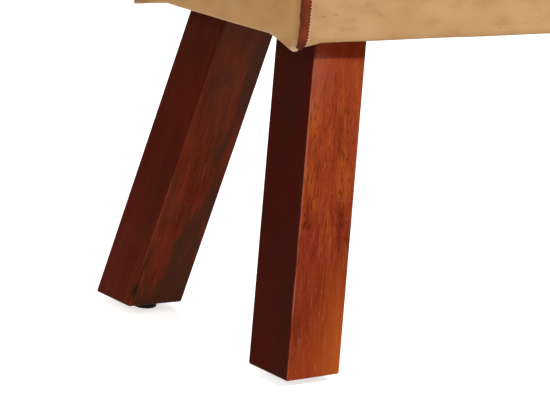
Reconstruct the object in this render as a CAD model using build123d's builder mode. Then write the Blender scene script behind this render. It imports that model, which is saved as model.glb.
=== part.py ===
from build123d import *
import math
import os

# Leather bench in the manner of a gymnasium horse: a padded box covered in leather, with piped
# seams, on four square wooden legs that splay out both ways.
# The origin is on the floor under the middle of the seat. X runs along the seat, Y across it with
# the front at minus Y, and Z is up. Millimetres and degrees.

# Overall sizes
seat_length = 1100.0
seat_width = 280.0
seat_height = 500.0
body_height = 178.0

# Shape of the padded body
shoulder_radius = 48.0
crown_rise = 20.0
hem_draw = 3.0
seam_top_dip = 6.0
seam_side_dip = 2.0
end_top_dip = 7.0
end_side_dip = 1.5
end_bulge = 4.0
bulge_inset_shares = (0.3, 0.7)
bulge_rise_shares = (0.6, 1.0)
panel_count = 3

# Leather cover, piping and padding
leather = 1.5
ear_drop = 8.0
ear_width = 42.0
welt_cord_radius = 2.6
welt_leather = 1.2
welt_seat = 1.5
welt_clearance = 0.3
soft_clearance = 0.3
padding = 5.0

# Wooden frame
rail_thickness = 18.0
foam_edge = 2.5
deck_thickness = 9.0
board_thickness = 15.0
board_recess = 12.0
cross_rail_thickness = 18.0
cross_rail_spacing_share = 0.25
ledger_thickness = 12.0
ledger_height = 15.0
corner_block_leg = 40.0
dust_cover_thickness = 0.5
dust_cover_margin = 2.0

# Legs
leg_side = 62.0
leg_edge_radius = 1.5
leg_foot_chamfer = 1.0
leg_lean_along_angle = 9.4
leg_lean_across_angle = 11.9
leg_top_end_inset = 77.5
leg_top_side_inset = 71.5

# Leg mounting plates
plate_length = 96.0
plate_width = 64.0
plate_thickness = 3.0
plate_corner_radius = 4.0
plate_bolt_edge = 8.0
plate_bolt_spacing = 40.0
leg_screw_spacing = 36.0

# Glides under the feet
glide_radius = 12.0
glide_height = 8.0
glide_edge_radius = 2.0
glide_inward = 8.0
glide_endward = 3.0
nail_radius = 1.2
nail_head_radius = 3.2
nail_head_height = 1.4
nail_length = 24.0
nail_recess_radius = 3.8
nail_recess_depth = 2.6

# Bolts and tee nuts
bolt_radius = 3.0
bolt_length = 20.0
bolt_head_radius = 5.2
bolt_head_height = 3.2
bolt_head_rim = 1.0
bolt_head_flat_radius = 2.6
bolt_head_round_radius = 4.0
bolt_socket_across = 4.0
bolt_socket_depth = 2.0
bolt_clearance = 0.2
tee_barrel_radius = 3.9
tee_barrel_height = 9.0
tee_flange_radius = 9.0
tee_flange_height = 1.5
tee_clearance = 0.1
tee_prong_count = 4
tee_prong_width = 2.5
tee_prong_thickness = 1.0
tee_prong_length = 5.0

# Wood screws and staples
screw_radius = 2.0
screw_head_radius = 4.0
screw_clearance = 0.1
frame_screw_length = 45.0
frame_screw_shares = (0.2, 0.8)
deck_screw_length = 25.0
ledger_screw_length = 25.0
board_screw_length = 28.0
leg_screw_length = 35.0
countersink_angle = 90.0
end_rail_screw_share = 0.5
board_screw_count = 8
deck_screw_count = 8
staple_width = 10.0
staple_wire_width = 1.2
staple_wire_thickness = 0.6
staple_leg_length = 8.0
hem_staple_pitch = 45.0
dust_staple_edge = 5.0
dust_end_staple_count = 2
cut_overrun = 5.0

# Heights, from the floor up. The foam's upright edge starts under the shoulders, and the rails take
# what the foam and the deck leave of the body.
hem_height = seat_height - body_height
skirt_z = hem_height - ear_drop
rail_bottom_z = hem_height + leather
deck_top_z = seat_height - end_top_dip - crown_rise - shoulder_radius - foam_edge
rail_top_z = deck_top_z - deck_thickness
board_bottom_z = rail_bottom_z + board_recess
board_top_z = board_bottom_z + board_thickness
ledger_top_z = board_top_z + ledger_height
plate_bottom_z = board_bottom_z - plate_thickness

# Faces of the frame, from the middle of the bench
half_length = seat_length / 2
half_width = seat_width / 2
frame_end_x = half_length - leather - padding
end_rail_inner_x = frame_end_x - rail_thickness
rail_outer_y = half_width - hem_draw - leather - padding
rail_inner_y = rail_outer_y - rail_thickness
ledger_inner_y = rail_inner_y - ledger_thickness
welt_radius = welt_cord_radius + welt_leather
welt_end_x = half_length - welt_seat

# Legs: the middle of each top, and how far the foot lies beyond it
leg_top_x = half_length - leg_top_end_inset
leg_top_y = half_width - leg_top_side_inset
leg_fall = plate_bottom_z - glide_height
foot_x = leg_top_x + leg_fall * math.tan(math.radians(leg_lean_along_angle))
foot_y = leg_top_y + leg_fall * math.tan(math.radians(leg_lean_across_angle))
glide_x = foot_x - glide_endward
glide_y = foot_y - glide_inward
plate_bolt_x = plate_length / 2 - plate_bolt_edge
plate_bolt_y = plate_bolt_spacing / 2

ends = (("left", -1), ("right", 1))
sides = (("front", -1), ("back", 1))
no_dips = (0, 0)
seam_dips = (seam_top_dip, seam_side_dip)
end_dips = (end_top_dip, end_side_dip)

# Places along the seat where the panels meet, from end to end
seam_stations = []
for index in range(panel_count + 1):
    station_dips = end_dips if index in (0, panel_count) else seam_dips
    seam_stations.append((-half_length + index * seat_length / panel_count, station_dips))
panel_names = ("left", "middle", "right")
panels = list(zip(panel_names, seam_stations, seam_stations[1:]))

os.makedirs("parts", exist_ok=True)


def keep(part, name):
    part.label = name
    export_step(part, f"parts/{name}.step")


# Shape of the padded body

def draw_arch(inset, foot_z, dips):
    # An open arch: nearly upright sides, round shoulders and a low crown, all tangent.
    top_dip, side_dip = dips
    half = half_width - side_dip - inset
    radius = shoulder_radius - inset
    shoulder_z = seat_height - top_dip - crown_rise - shoulder_radius
    reach = half - radius
    crown_fall = (reach ** 2 - crown_rise ** 2) / (2 * crown_rise)
    crown_reach = crown_fall + crown_rise
    crown_ratio = (crown_reach + radius) / crown_reach
    turn_y = reach * crown_ratio
    turn_z = shoulder_z - crown_fall + crown_fall * crown_ratio
    side_height = shoulder_z - hem_height
    side_draw = hem_draw - side_dip
    side_radius = (side_height ** 2 + side_draw ** 2) / (2 * side_draw) - inset
    hem_y = half - side_radius + math.sqrt(side_radius ** 2 - (shoulder_z - foot_z) ** 2)
    RadiusArc((-hem_y, foot_z), (-half, shoulder_z), side_radius)
    RadiusArc((-half, shoulder_z), (-turn_y, turn_z), radius)
    RadiusArc((-turn_y, turn_z), (turn_y, turn_z), crown_reach + radius)
    RadiusArc((turn_y, turn_z), (half, shoulder_z), radius)
    RadiusArc((half, shoulder_z), (hem_y, foot_z), side_radius)
    return hem_y


def arch_section(x, inset, foot_z, dips):
    with BuildSketch(Plane.YZ.offset(x)) as section:
        with BuildLine():
            foot = draw_arch(inset, foot_z, dips)
            Line((-foot, foot_z), (foot, foot_z))
        make_face()
    return section.sketch.face()


def body_panel(start, end, inset, foot_z, mode=Mode.ADD):
    # One panel's length of the body, pinched at both seams and full between them.
    middle = ((start[0] + end[0]) / 2, no_dips)
    loft([arch_section(x, inset, foot_z, dips) for x, dips in (start, middle, end)], mode=mode)


def end_block(sign, face_x, edge_inset, foot_z, mode=Mode.ADD):
    # The padded end of the body, out to a face that swells a little inside its edges.
    edge = arch_section(sign * face_x, edge_inset, foot_z, end_dips)
    extrude(edge, amount=face_x - frame_end_x + cut_overrun, dir=(-sign, 0, 0), mode=mode)
    swell = []
    for inset_share, rise_share in zip((0, *bulge_inset_shares), (0, *bulge_rise_shares)):
        inset = inset_share * shoulder_radius
        x = sign * (face_x + rise_share * end_bulge)
        swell.append(arch_section(x, edge_inset + inset, rail_bottom_z + inset, end_dips))
    loft(swell, mode=mode)


def welt_tube(x, radius, foot_z, dips, bore=0, mode=Mode.ADD):
    # Piping that lies in the seam at x, over the body from hem to hem.
    with BuildLine(Plane.YZ.offset(x)) as path:
        draw_arch(welt_seat, foot_z, dips)
    spine = Wire(path.line.edges())
    with BuildSketch(Plane(origin=spine @ 0, z_dir=spine % 0)) as tube:
        Circle(radius)
        if bore:
            Circle(bore, mode=Mode.SUBTRACT)
    sweep(tube.sketch.face(), path=spine, mode=mode)


def welts():
    # x, dips and foot of every piped seam
    places = []
    for x, dips in seam_stations[1:-1]:
        places.append((x, dips, hem_height))
    for sign in (-1, 1):
        places.append((sign * welt_end_x, end_dips, skirt_z))
    return places


def clear_welts(low_x, high_x):
    for x, dips, foot_z in welts():
        if low_x - welt_radius < x < high_x + welt_radius:
            welt_tube(x, welt_radius + welt_clearance, foot_z - cut_overrun, dips, mode=Mode.SUBTRACT)


def even(span, count):
    # Places evenly spaced over a span that is centred on zero.
    return [(index + 0.5) * span / count - span / 2 for index in range(count)]


# Wood screws: the places where their heads sit, each a plane that faces the screwdriver

joint_height = rail_top_z - ledger_top_z
frame_screw_zs = [ledger_top_z + share * joint_height for share in frame_screw_shares]
end_rail_x = frame_end_x - rail_thickness / 2
cross_rail_xs = [share * seat_length * cross_rail_spacing_share for share in (-1, 0, 1)]
rail_mid_y = (rail_outer_y + rail_inner_y) / 2
ledger_mid_y = (rail_inner_y + ledger_inner_y) / 2


def frame_screw_seats(sign, xs):
    return [
        Plane(origin=(x, sign * rail_outer_y, z), z_dir=(0, sign, 0))
        for x in xs
        for z in frame_screw_zs
    ]


def deck_screw_seats():
    spots = [(x, sign * rail_mid_y) for sign in (-1, 1) for x in even(2 * frame_end_x, deck_screw_count)]
    across = rail_inner_y * end_rail_screw_share
    spots += [(sign * end_rail_x, y) for sign in (-1, 1) for y in (-across, across)]
    return [Plane(origin=(x, y, deck_top_z)) for x, y in spots]


def ledger_screw_seats(sign):
    span = 2 * end_rail_inner_x
    height = (board_top_z + ledger_top_z) / 2
    xs = [index * span / board_screw_count - span / 2 for index in range(1, board_screw_count)]
    return [Plane(origin=(x, sign * ledger_inner_y, height), z_dir=(0, -sign, 0)) for x in xs]


def board_screw_seats():
    return [
        Plane(origin=(x, sign * ledger_mid_y, board_bottom_z), z_dir=(0, 0, -1))
        for sign in (-1, 1)
        for x in even(2 * end_rail_inner_x, board_screw_count)
    ]


def leg_screw_seats(x_sign, y_sign):
    half = leg_screw_spacing / 2
    return [
        Plane(origin=(x_sign * leg_top_x + along, y_sign * leg_top_y + across, board_bottom_z))
        for along in (-half, half)
        for across in (-half, half)
    ]


def bolt_spots(x_sign, y_sign):
    return [
        (x_sign * leg_top_x + along, y_sign * leg_top_y + across)
        for along in (-plate_bolt_x, plate_bolt_x)
        for across in (-plate_bolt_y, plate_bolt_y)
    ]


def drill_screws(seats, depth):
    with Locations(*seats):
        Hole(radius=screw_radius + screw_clearance, depth=depth + screw_clearance)


def sink_screws(seats, depth):
    with Locations(*seats):
        CounterSinkHole(
            radius=screw_radius + screw_clearance,
            counter_sink_radius=screw_head_radius + screw_clearance,
            depth=depth,
            counter_sink_angle=countersink_angle,
        )


def screw_group(name, seats, length):
    head_height = (screw_head_radius - screw_radius) / math.tan(math.radians(countersink_angle / 2))
    downward = (Align.CENTER, Align.CENTER, Align.MAX)
    with BuildPart() as screw:
        Cylinder(screw_radius, length, align=downward)
        Cone(screw_radius, screw_head_radius, head_height, align=downward)
    with BuildPart() as screws:
        with Locations(*seats):
            add(screw.part)
    keep(screws.part, name)


# Staples: pressed in flush from below, crown along the edge that they hold

def staple_group(spots, crown_z):
    # spots: x, y and the turn of the crown about Z
    leg_reach = (staple_width - staple_wire_width) / 2
    upward = (Align.CENTER, Align.CENTER, Align.MIN)
    with BuildPart() as staple:
        Box(staple_width, staple_wire_width, staple_wire_thickness, align=upward)
        with Locations((-leg_reach, 0, 0), (leg_reach, 0, 0)):
            Box(staple_wire_width, staple_wire_width, staple_leg_length, align=upward)
    with BuildPart() as group:
        with Locations(*[Location((x, y, crown_z), (0, 0, turn)) for x, y, turn in spots]):
            add(staple.part)
    return group


hem_staple_spots = []
for name, start, end in panels:
    count = int((end[0] - start[0]) / hem_staple_pitch)
    for place in even(end[0] - start[0], count):
        for sign in (-1, 1):
            hem_staple_spots.append(((start[0] + end[0]) / 2 + place, sign * rail_mid_y, 0))
for place in even(2 * rail_inner_y, int(2 * rail_inner_y / hem_staple_pitch)):
    for sign in (-1, 1):
        hem_staple_spots.append((sign * end_rail_x, place, 90))

dust_staple_spots = []
for place in even(2 * end_rail_inner_x, 2 * board_screw_count):
    for sign in (-1, 1):
        dust_staple_spots.append((place, sign * (rail_inner_y - dust_staple_edge), 0))
clear_of_plates = 2 * (leg_top_y - plate_width / 2 - dust_cover_margin)
for place in even(clear_of_plates, dust_end_staple_count):
    for sign in (-1, 1):
        dust_staple_spots.append((sign * (end_rail_inner_x - dust_staple_edge), place, 90))

hem_staples = staple_group(hem_staple_spots, hem_height)
keep(hem_staples.part, "hem_staples")
dust_cover_bottom_z = board_bottom_z - dust_cover_thickness
dust_staples = staple_group(dust_staple_spots, dust_cover_bottom_z - staple_wire_thickness)
keep(dust_staples.part, "dust_cover_staples")


# Legs, their plates and glides

def leg_plane(x_sign, y_sign):
    # At the middle of the leg's top, with z along the leg. The post's end faces stay parallel to Y.
    upward = Vector(
        -x_sign * math.tan(math.radians(leg_lean_along_angle)),
        -y_sign * math.tan(math.radians(leg_lean_across_angle)),
        1,
    )
    top = (x_sign * leg_top_x, y_sign * leg_top_y, plate_bottom_z)
    return Plane(origin=top, x_dir=Vector(0, 1, 0).cross(upward), z_dir=upward)


for end_name, x_sign in ends:
    for side_name, y_sign in sides:
        corner = f"{side_name}_{end_name}"
        glide_spot = (x_sign * glide_x, y_sign * glide_y)
        screw_seats = leg_screw_seats(x_sign, y_sign)

        with BuildPart() as leg:
            with BuildSketch(leg_plane(x_sign, y_sign)):
                RectangleRounded(leg_side, leg_side, leg_edge_radius)
            extrude(amount=seat_height, both=True)
            split(bisect_by=Plane.XY.offset(plate_bottom_z), keep=Keep.BOTTOM)
            split(bisect_by=Plane.XY.offset(glide_height), keep=Keep.TOP)
            chamfer(leg.faces().sort_by(Axis.Z)[0].edges(), leg_foot_chamfer)
            drill_screws(screw_seats, leg_screw_length)
            with Locations(Plane(origin=(*glide_spot, nail_recess_depth), z_dir=(0, 0, -1))):
                Hole(radius=nail_radius + screw_clearance, depth=nail_length + screw_clearance)
        keep(leg.part, f"leg_{corner}")

        with BuildPart() as leg_plate:
            with BuildSketch(Plane.XY.offset(plate_bottom_z)):
                with Locations((x_sign * leg_top_x, y_sign * leg_top_y)):
                    RectangleRounded(plate_length, plate_width, plate_corner_radius)
                with Locations(*bolt_spots(x_sign, y_sign)):
                    Circle(bolt_radius + bolt_clearance, mode=Mode.SUBTRACT)
            extrude(amount=plate_thickness)
            sink_screws(screw_seats, plate_thickness)
        keep(leg_plate.part, f"leg_plate_{corner}")

        with BuildPart() as glide:
            with BuildSketch():
                with Locations(glide_spot):
                    Circle(glide_radius)
            extrude(amount=glide_height)
            fillet(glide.edges().group_by(Axis.Z)[0], glide_edge_radius)
            with Locations(Plane(origin=(*glide_spot, 0), z_dir=(0, 0, -1))):
                CounterBoreHole(
                    radius=nail_radius + screw_clearance,
                    counter_bore_radius=nail_recess_radius,
                    counter_bore_depth=nail_recess_depth,
                    depth=glide_height,
                )
        keep(glide.part, f"glide_{corner}")

with BuildPart() as glide_nails:
    for end_name, x_sign in ends:
        for side_name, y_sign in sides:
            with Locations((x_sign * glide_x, y_sign * glide_y, nail_recess_depth)):
                Cylinder(
                    nail_head_radius,
                    nail_head_height,
                    align=(Align.CENTER, Align.CENTER, Align.MAX),
                )
                Cylinder(nail_radius, nail_length, align=(Align.CENTER, Align.CENTER, Align.MIN))
keep(glide_nails.part, "glide_nails")

all_bolt_spots = []
all_leg_screw_seats = []
for end_name, x_sign in ends:
    for side_name, y_sign in sides:
        all_bolt_spots += bolt_spots(x_sign, y_sign)
        all_leg_screw_seats += leg_screw_seats(x_sign, y_sign)
screw_group("leg_screws", all_leg_screw_seats, leg_screw_length)

# Button head bolts: head under the plate, shank up through the board
with BuildPart() as leg_bolt:
    with BuildSketch(Plane.XZ):
        with BuildLine():
            flat_end = (bolt_head_flat_radius, -bolt_head_height)
            rim_low = (bolt_head_radius, -bolt_head_rim)
            RadiusArc(flat_end, rim_low, -bolt_head_round_radius)
            Polyline(
                rim_low,
                (bolt_head_radius, 0),
                (bolt_radius, 0),
                (bolt_radius, bolt_length),
                (0, bolt_length),
                (0, -bolt_head_height),
                flat_end,
            )
        make_face()
    revolve(axis=Axis.Z)
    with BuildSketch(Plane.XY.offset(-bolt_head_height)):
        RegularPolygon(bolt_socket_across / 2, 6, major_radius=False)
    extrude(amount=bolt_socket_depth, mode=Mode.SUBTRACT)
with BuildPart() as leg_bolts:
    with Locations(*[(x, y, plate_bottom_z) for x, y in all_bolt_spots]):
        add(leg_bolt.part)
keep(leg_bolts.part, "leg_bolts")

# Tee nuts: flange on the board, barrel down into it, prongs bitten into the wood
with BuildPart() as tee_nut:
    with BuildSketch():
        Circle(tee_flange_radius)
    extrude(amount=tee_flange_height)
    with BuildSketch():
        Circle(tee_barrel_radius)
    extrude(amount=-tee_barrel_height)
    Hole(radius=bolt_radius + bolt_clearance)
    prong_ring = tee_flange_radius - tee_prong_thickness / 2
    with PolarLocations(prong_ring, tee_prong_count):
        Box(
            tee_prong_thickness,
            tee_prong_width,
            tee_prong_length,
            align=(Align.CENTER, Align.CENTER, Align.MAX),
        )
    with BuildSketch():
        Circle(2 * tee_flange_radius)
        Circle(tee_flange_radius, mode=Mode.SUBTRACT)
    extrude(amount=-tee_prong_length, mode=Mode.SUBTRACT)
tee_places = [(x, y, board_top_z) for x, y in all_bolt_spots]
with BuildPart() as tee_nuts:
    with Locations(*tee_places):
        add(tee_nut.part)
keep(tee_nuts.part, "tee_nuts")


# Wooden frame

for side_name, y_sign in sides:
    with BuildPart() as side_rail:
        with BuildSketch(Plane.XY.offset(rail_bottom_z)):
            with Locations((0, y_sign * rail_mid_y)):
                Rectangle(2 * frame_end_x, rail_thickness)
        extrude(amount=rail_top_z - rail_bottom_z)
        joined_xs = [-end_rail_x, *cross_rail_xs, end_rail_x]
        sink_screws(frame_screw_seats(y_sign, joined_xs), rail_thickness)
        drill_screws(deck_screw_seats(), deck_screw_length)
        drill_screws(ledger_screw_seats(y_sign), ledger_screw_length)
        add(hem_staples.part, mode=Mode.SUBTRACT)
    keep(side_rail.part, f"side_rail_{side_name}")

    with BuildPart() as ledger:
        with BuildSketch(Plane.XY.offset(board_top_z)):
            with Locations((0, y_sign * ledger_mid_y)):
                Rectangle(2 * end_rail_inner_x, ledger_thickness)
        extrude(amount=ledger_height)
        sink_screws(ledger_screw_seats(y_sign), ledger_thickness)
        drill_screws(board_screw_seats(), board_screw_length)
    keep(ledger.part, f"ledger_{side_name}")

for end_name, x_sign in ends:
    with BuildPart() as end_rail:
        with BuildSketch(Plane.XY.offset(rail_bottom_z)):
            with Locations((x_sign * end_rail_x, 0)):
                Rectangle(rail_thickness, 2 * rail_inner_y)
        extrude(amount=rail_top_z - rail_bottom_z)
        for y_sign in (-1, 1):
            drill_screws(frame_screw_seats(y_sign, [x_sign * end_rail_x]), frame_screw_length)
        drill_screws(deck_screw_seats(), deck_screw_length)
        add(hem_staples.part, mode=Mode.SUBTRACT)
    keep(end_rail.part, f"end_rail_{end_name}")

for rail_name, x in zip(("left", "middle", "right"), cross_rail_xs):
    with BuildPart() as cross_rail:
        with BuildSketch(Plane.YZ.offset(x)):
            with BuildLine():
                Polyline(
                    (-ledger_inner_y, board_top_z),
                    (-ledger_inner_y, ledger_top_z),
                    (-rail_inner_y, ledger_top_z),
                    (-rail_inner_y, rail_top_z),
                    (rail_inner_y, rail_top_z),
                    (rail_inner_y, ledger_top_z),
                    (ledger_inner_y, ledger_top_z),
                    (ledger_inner_y, board_top_z),
                    close=True,
                )
            make_face()
        extrude(amount=cross_rail_thickness / 2, both=True)
        for y_sign in (-1, 1):
            drill_screws(frame_screw_seats(y_sign, [x]), frame_screw_length)
    keep(cross_rail.part, f"cross_rail_{rail_name}")

for end_name, x_sign in ends:
    for side_name, y_sign in sides:
        with BuildPart() as corner_block:
            with BuildSketch(Plane.XY.offset(ledger_top_z)):
                with BuildLine():
                    Polyline(
                        (x_sign * end_rail_inner_x, y_sign * rail_inner_y),
                        (x_sign * (end_rail_inner_x - corner_block_leg), y_sign * rail_inner_y),
                        (x_sign * end_rail_inner_x, y_sign * (rail_inner_y - corner_block_leg)),
                        close=True,
                    )
                make_face()
            extrude(amount=joint_height)
        keep(corner_block.part, f"corner_block_{side_name}_{end_name}")

with BuildPart() as base_board:
    with BuildSketch(Plane.XY.offset(board_bottom_z)):
        Rectangle(2 * end_rail_inner_x, 2 * rail_inner_y)
        with Locations(*all_bolt_spots):
            Circle(tee_barrel_radius + tee_clearance, mode=Mode.SUBTRACT)
    extrude(amount=board_thickness)
    with Locations(*tee_places):
        with PolarLocations(prong_ring, tee_prong_count):
            Box(
                tee_prong_thickness,
                tee_prong_width,
                tee_prong_length,
                align=(Align.CENTER, Align.CENTER, Align.MAX),
                mode=Mode.SUBTRACT,
            )
    sink_screws(board_screw_seats(), board_thickness)
    add(dust_staples.part, mode=Mode.SUBTRACT)
keep(base_board.part, "base_board")

with BuildPart() as seat_deck:
    with BuildSketch(Plane.XY.offset(rail_top_z)):
        Rectangle(2 * frame_end_x, 2 * rail_outer_y)
    extrude(amount=deck_thickness)
    sink_screws(deck_screw_seats(), deck_thickness)
keep(seat_deck.part, "seat_deck")

both_side_seats = []
for side_name, y_sign in sides:
    both_side_seats += frame_screw_seats(y_sign, [-end_rail_x, *cross_rail_xs, end_rail_x])
screw_group("frame_screws", both_side_seats, frame_screw_length)
screw_group("deck_screws", deck_screw_seats(), deck_screw_length)
screw_group("ledger_screws", ledger_screw_seats(-1) + ledger_screw_seats(1), ledger_screw_length)
screw_group("board_screws", board_screw_seats(), board_screw_length)

# Black cloth under the base board, cut out around the leg plates
with BuildPart() as dust_cover:
    with BuildSketch(Plane.XY.offset(dust_cover_bottom_z)):
        Rectangle(2 * end_rail_inner_x, 2 * rail_inner_y)
        with GridLocations(2 * leg_top_x, 2 * leg_top_y, 2, 2):
            Rectangle(
                plate_length + 2 * dust_cover_margin,
                plate_width + 2 * dust_cover_margin,
                mode=Mode.SUBTRACT,
            )
    extrude(amount=dust_cover_thickness)
    add(dust_staples.part, mode=Mode.SUBTRACT)
keep(dust_cover.part, "dust_cover")


# Padding: a foam block on the deck, and thinner foam over the rails

padding_inset = leather + soft_clearance

with BuildPart() as seat_foam:
    for name, start, end in panels:
        body_panel(start, end, padding_inset, deck_top_z)
    for x_sign in (-1, 1):
        with BuildSketch(Plane.YZ.offset(x_sign * frame_end_x)):
            with Locations((0, seat_height)):
                Rectangle(2 * seat_width, 2 * seat_height)
        extrude(amount=x_sign * (half_length - frame_end_x + cut_overrun), mode=Mode.SUBTRACT)
    clear_welts(-half_length, half_length)
keep(seat_foam.part, "seat_foam")

for side_name, y_sign in sides:
    with BuildPart() as side_padding:
        for name, start, end in panels:
            body_panel(start, end, padding_inset, rail_bottom_z)
        with BuildSketch(Plane.XY.offset(rail_bottom_z)):
            with Locations((0, y_sign * (rail_outer_y + half_width / 2))):
                Rectangle(2 * frame_end_x, half_width)
        extrude(amount=deck_top_z - rail_bottom_z, mode=Mode.INTERSECT)
        clear_welts(-half_length, half_length)
    keep(side_padding.part, f"side_padding_{side_name}")

for end_name, x_sign in ends:
    with BuildPart() as end_padding:
        end_block(x_sign, half_length - padding_inset, padding_inset, rail_bottom_z)
        with BuildSketch(Plane.YZ.offset(x_sign * frame_end_x)):
            with Locations((0, seat_height)):
                Rectangle(2 * seat_width, 2 * seat_height)
        extrude(amount=-x_sign * 2 * cut_overrun, mode=Mode.SUBTRACT)
        clear_welts(min(0, x_sign * half_length), max(0, x_sign * half_length))
    keep(end_padding.part, f"end_padding_{end_name}")


# Leather cover: three panels over the body, one on each end, with the hem turned under

def hem_end(end, inward, has_ear):
    # The hem's line at one end of a panel, from the end inwards, and down to an ear where it has one.
    if has_ear:
        return [(end, skirt_z), (end + inward * ear_width, hem_height)]
    return [(end - inward * cut_overrun, hem_height)]


def hem_outline(low, high, ears):
    # What is cut away under the hem.
    below_z = skirt_z - 2 * cut_overrun
    with BuildLine() as outline:
        Polyline(
            (low - cut_overrun, below_z),
            *hem_end(low, 1, ears[0]),
            *reversed(hem_end(high, -1, ears[1])),
            (high + cut_overrun, below_z),
            close=True,
        )
    make_face(outline.edges())


for name, start, end in panels:
    with BuildPart() as cover_panel:
        body_panel(start, end, 0, skirt_z)
        body_panel(start, end, leather, skirt_z - cut_overrun, mode=Mode.SUBTRACT)
        with BuildSketch(Plane.XZ):
            hem_outline(start[0], end[0], (name == "left", name == "right"))
        extrude(amount=seat_width, both=True, mode=Mode.SUBTRACT)
        turn_outer_y = half_width - hem_draw - leather / 2
        with BuildSketch(Plane.XY.offset(hem_height)):
            low_x = max(start[0], -half_length + leather)
            high_x = min(end[0], half_length - leather)
            for sign in (-1, 1):
                with Locations(((low_x + high_x) / 2, sign * (rail_inner_y + turn_outer_y) / 2)):
                    Rectangle(high_x - low_x, turn_outer_y - rail_inner_y)
        extrude(amount=leather)
        for x_sign in (-1, 1):
            with BuildSketch(Plane.YZ.offset(x_sign * (half_length - leather))):
                with Locations((0, seat_height)):
                    Rectangle(2 * seat_width, 2 * seat_height)
            extrude(amount=x_sign * (leather + cut_overrun), mode=Mode.SUBTRACT)
        clear_welts(start[0], end[0])
        add(hem_staples.part, mode=Mode.SUBTRACT)
    keep(cover_panel.part, f"cover_panel_{name}")

for end_name, x_sign in ends:
    with BuildPart() as end_panel:
        end_block(x_sign, half_length, 0, skirt_z)
        end_block(x_sign, half_length - leather, 0, skirt_z - cut_overrun, mode=Mode.SUBTRACT)
        with BuildSketch(Plane.YZ):
            hem_outline(-half_width + hem_draw, half_width - hem_draw, (True, True))
        extrude(amount=seat_length, both=True, mode=Mode.SUBTRACT)
        with BuildSketch(Plane.XY.offset(hem_height)):
            turn_outer_x = half_length - leather / 2
            with Locations((x_sign * (end_rail_inner_x + turn_outer_x) / 2, 0)):
                Rectangle(turn_outer_x - end_rail_inner_x, 2 * rail_inner_y)
        extrude(amount=leather)
        clear_welts(min(0, x_sign * half_length), max(0, x_sign * half_length))
        add(hem_staples.part, mode=Mode.SUBTRACT)
    keep(end_panel.part, f"end_panel_{end_name}")

welt_names = ("cross_welt_left", "cross_welt_right", "end_welt_left", "end_welt_right")
for name, (x, dips, foot_z) in zip(welt_names, welts()):
    with BuildPart() as welt:
        welt_tube(x, welt_radius, foot_z, dips, bore=welt_cord_radius)
    keep(welt.part, name)

with BuildPart() as welt_cords:
    for x, dips, foot_z in welts():
        welt_tube(x, welt_cord_radius, foot_z, dips)
keep(welt_cords.part, "welt_cords")
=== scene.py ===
import bpy
import bmesh
import math
from functools import partial
from mathutils import Matrix, Vector, noise


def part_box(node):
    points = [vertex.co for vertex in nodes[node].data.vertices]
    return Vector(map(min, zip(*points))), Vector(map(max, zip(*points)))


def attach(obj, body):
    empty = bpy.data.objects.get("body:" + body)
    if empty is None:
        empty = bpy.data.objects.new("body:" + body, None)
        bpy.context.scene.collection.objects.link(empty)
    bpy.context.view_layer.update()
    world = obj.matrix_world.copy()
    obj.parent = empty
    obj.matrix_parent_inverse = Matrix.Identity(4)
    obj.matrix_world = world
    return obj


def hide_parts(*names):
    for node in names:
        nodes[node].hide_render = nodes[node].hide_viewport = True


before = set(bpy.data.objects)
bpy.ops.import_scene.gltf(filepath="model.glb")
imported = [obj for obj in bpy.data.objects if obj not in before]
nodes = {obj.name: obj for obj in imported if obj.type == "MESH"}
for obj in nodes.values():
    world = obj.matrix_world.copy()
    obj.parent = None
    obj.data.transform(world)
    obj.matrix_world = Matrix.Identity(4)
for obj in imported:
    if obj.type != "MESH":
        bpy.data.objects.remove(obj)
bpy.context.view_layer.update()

# Lengths in this script are millimetres until a mesh, lamp, camera or node is made.
mm = 0.001


def low(node):
    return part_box(node)[0] / mm


def high(node):
    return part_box(node)[1] / mm


def linear(hexColour):
    # sRGB hex to the linear values that a node takes
    channels = [int(hexColour[i:i + 2], 16) / 255 for i in (1, 3, 5)]
    return (*[c / 12.92 if c <= 0.04045 else ((c + 0.055) / 1.055) ** 2.4 for c in channels], 1)


def setInputs(tree, node, inputs):
    # each input linked or set, by its name or number, or in the node's own order
    for name, value in inputs.items() if isinstance(inputs, dict) else enumerate(inputs):
        if isinstance(value, bpy.types.NodeSocket):
            tree.links.new(value, node.inputs[name])
        else:
            node.inputs[name].default_value = value


def addNode(tree, kind, inputs=None, operation=None, **settings):
    # a node with its settings and links, which gives back its outputs; Map Range takes the value,
    # its range and the new range, and Mix takes 0 the share, 6 and 7 the colours
    node = tree.nodes.new(kind if "Node" in kind else "ShaderNode" + kind)
    if operation:
        node.operation = operation
    for name, value in settings.items():
        setattr(node, name, value)
    setInputs(tree, node, inputs or {})
    return node.outputs


def newFinish(name):
    finish = bpy.data.materials.new(name)
    finish.use_nodes = True
    add = partial(addNode, finish.node_tree)
    return finish, add, add("TexCoord")["Object"]


def closeFinish(finish, base, layers, surface, relief=None, bump=0.0, height=0.0):
    # colour over colour, each coming up to its strength as its value goes from start to end,
    # then the surface and its relief in mm
    tree = finish.node_tree
    colour = linear(base)
    for value, start, end, strength, tone in layers:
        share = addNode(tree, "MapRange", [value, start, end, 0, strength])[0]
        over = linear(tone) if isinstance(tone, str) else tone
        colour = addNode(tree, "Mix", {0: share, 6: colour, 7: over}, data_type="RGBA")[2]
    if relief:
        surface["Normal"] = addNode(tree, "Bump", {"Height": relief, "Strength": bump, "Distance": height * mm})[0]
    setInputs(tree, tree.nodes["Principled BSDF"], {"Base Color": colour, **surface})
    return finish


def perMetre(size):
    # texture scale for a pattern whose marks are this many millimetres apart
    return 1 / (size * mm)


# Camera, floor and lamps

camera = {
    "target": (-462.0, 0.0, 130.7),
    "distance": 2566.7,
    "lens": 169.45,
    "yaw": 36.31,      # degrees that the view turns from straight at the front
    "pitch": 12.74,    # degrees that it looks down
    "roll": 4.37,      # the photograph leans this much
}

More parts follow.
